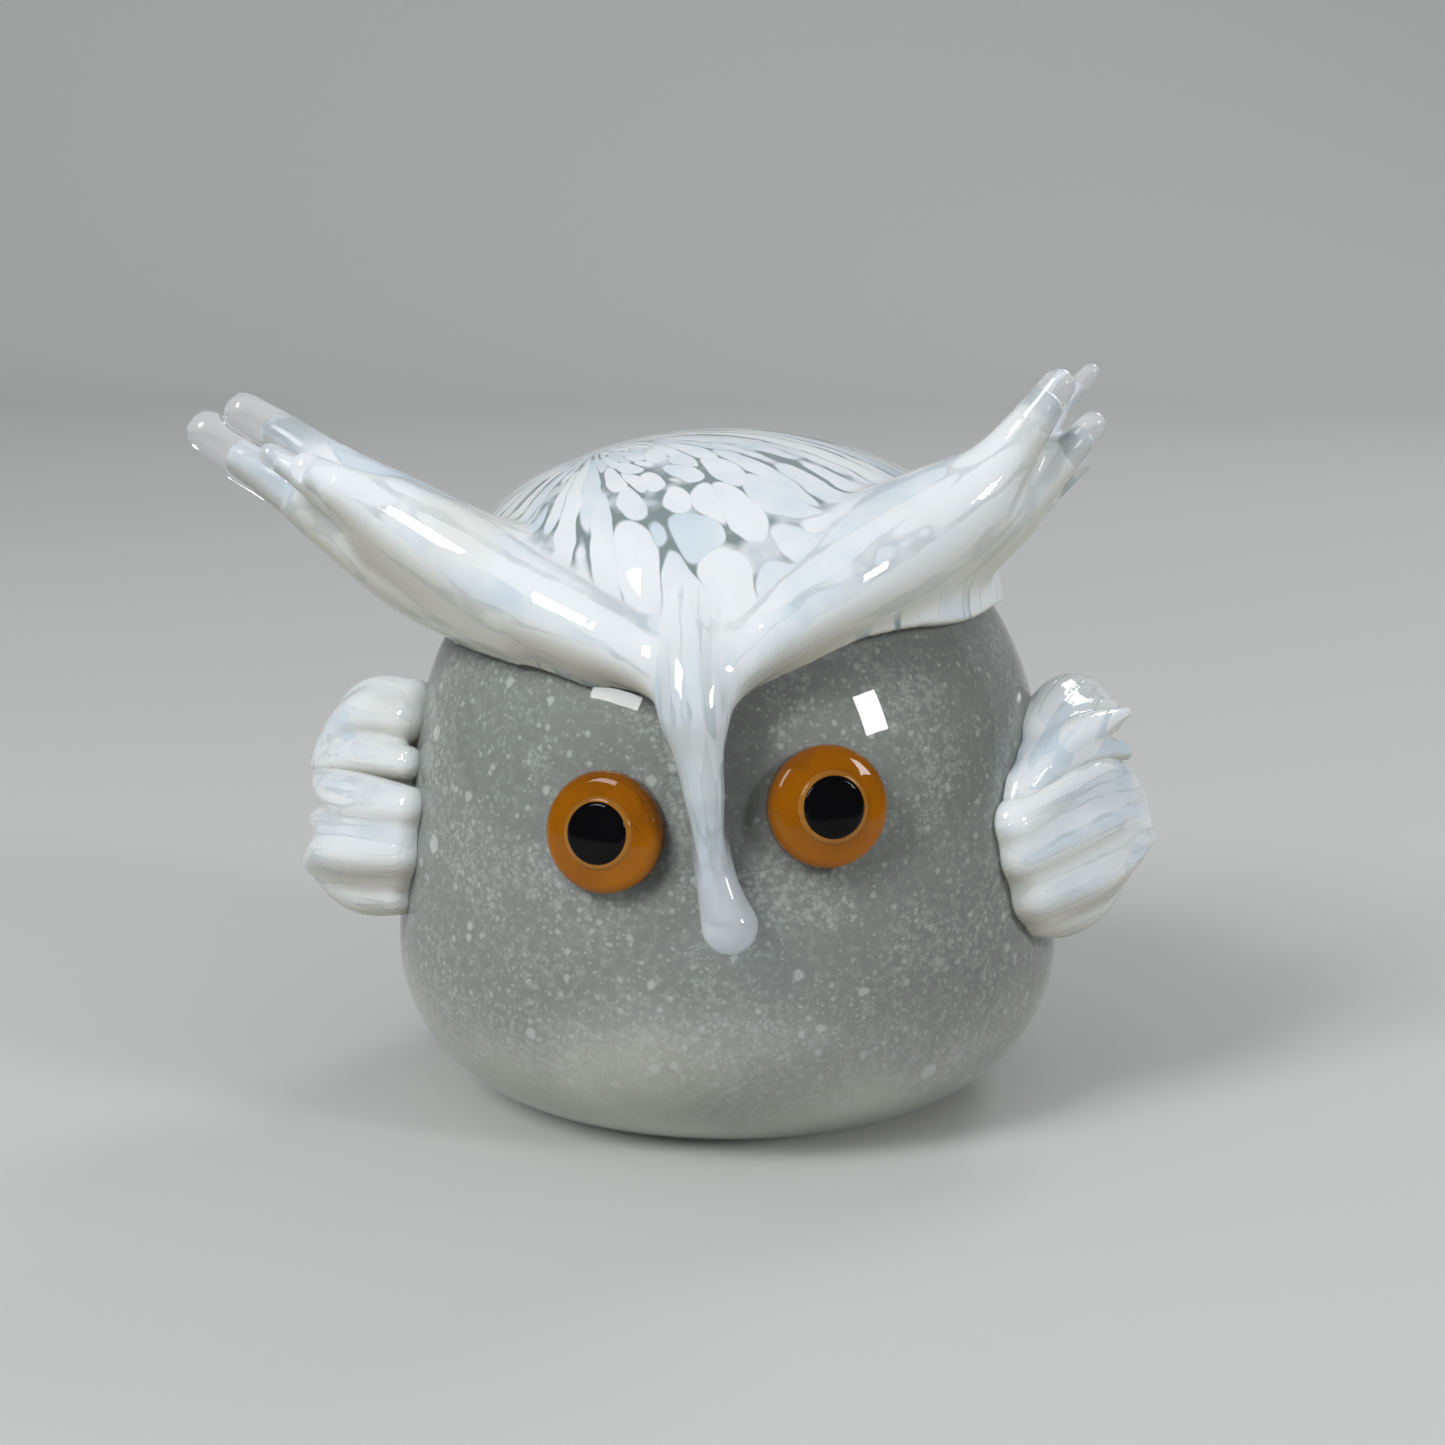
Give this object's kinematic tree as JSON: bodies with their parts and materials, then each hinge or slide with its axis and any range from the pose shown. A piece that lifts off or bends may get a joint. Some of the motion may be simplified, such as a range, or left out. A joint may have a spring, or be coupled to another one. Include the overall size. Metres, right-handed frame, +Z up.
{
  "type": "owl figurine",
  "caption": "Round blown-glass owl figurine with swept brow tufts, a long drip beak, ringed eyes and short feathered wings, standing on a flat base.",
  "frame": {"origin": "centre of the bubble's flat base, on the surface it stands on", "axes": "+Z up along the bubble's axis; -Y is the way the owl faces; +X is to the right as seen from in front"},
  "size_m": [0.1296, 0.0952, 0.0994],
  "materials": {
    "clear_glass": "fire-polished clear glass",
    "flecked_glass": "smoke-grey glass full of fine white flecks",
    "white_glass": "glossy opal white glass with grey web lines and a faint blue cast",
    "amber_glass": "glossy amber-orange glass",
    "tan_glass": "glossy tan glass",
    "black_glass": "glossy black glass"
  },
  "bodies": {
    "root": {"clear_casing": "clear_glass", "fleck_bubble": "flecked_glass", "base_button": "clear_glass", "white_cap": "white_glass", "brow_left": "white_glass", "brow_right": "white_glass", "beak": "white_glass", "eye_left_iris": "amber_glass", "eye_left_halo": "tan_glass", "eye_left_pupil": "black_glass", "eye_right_iris": "amber_glass", "eye_right_halo": "tan_glass", "eye_right_pupil": "black_glass", "wing_left_upper": "white_glass", "wing_left_lower": "white_glass", "wing_right_upper": "white_glass", "wing_right_lower": "white_glass"}
  },
  "joints": []
}
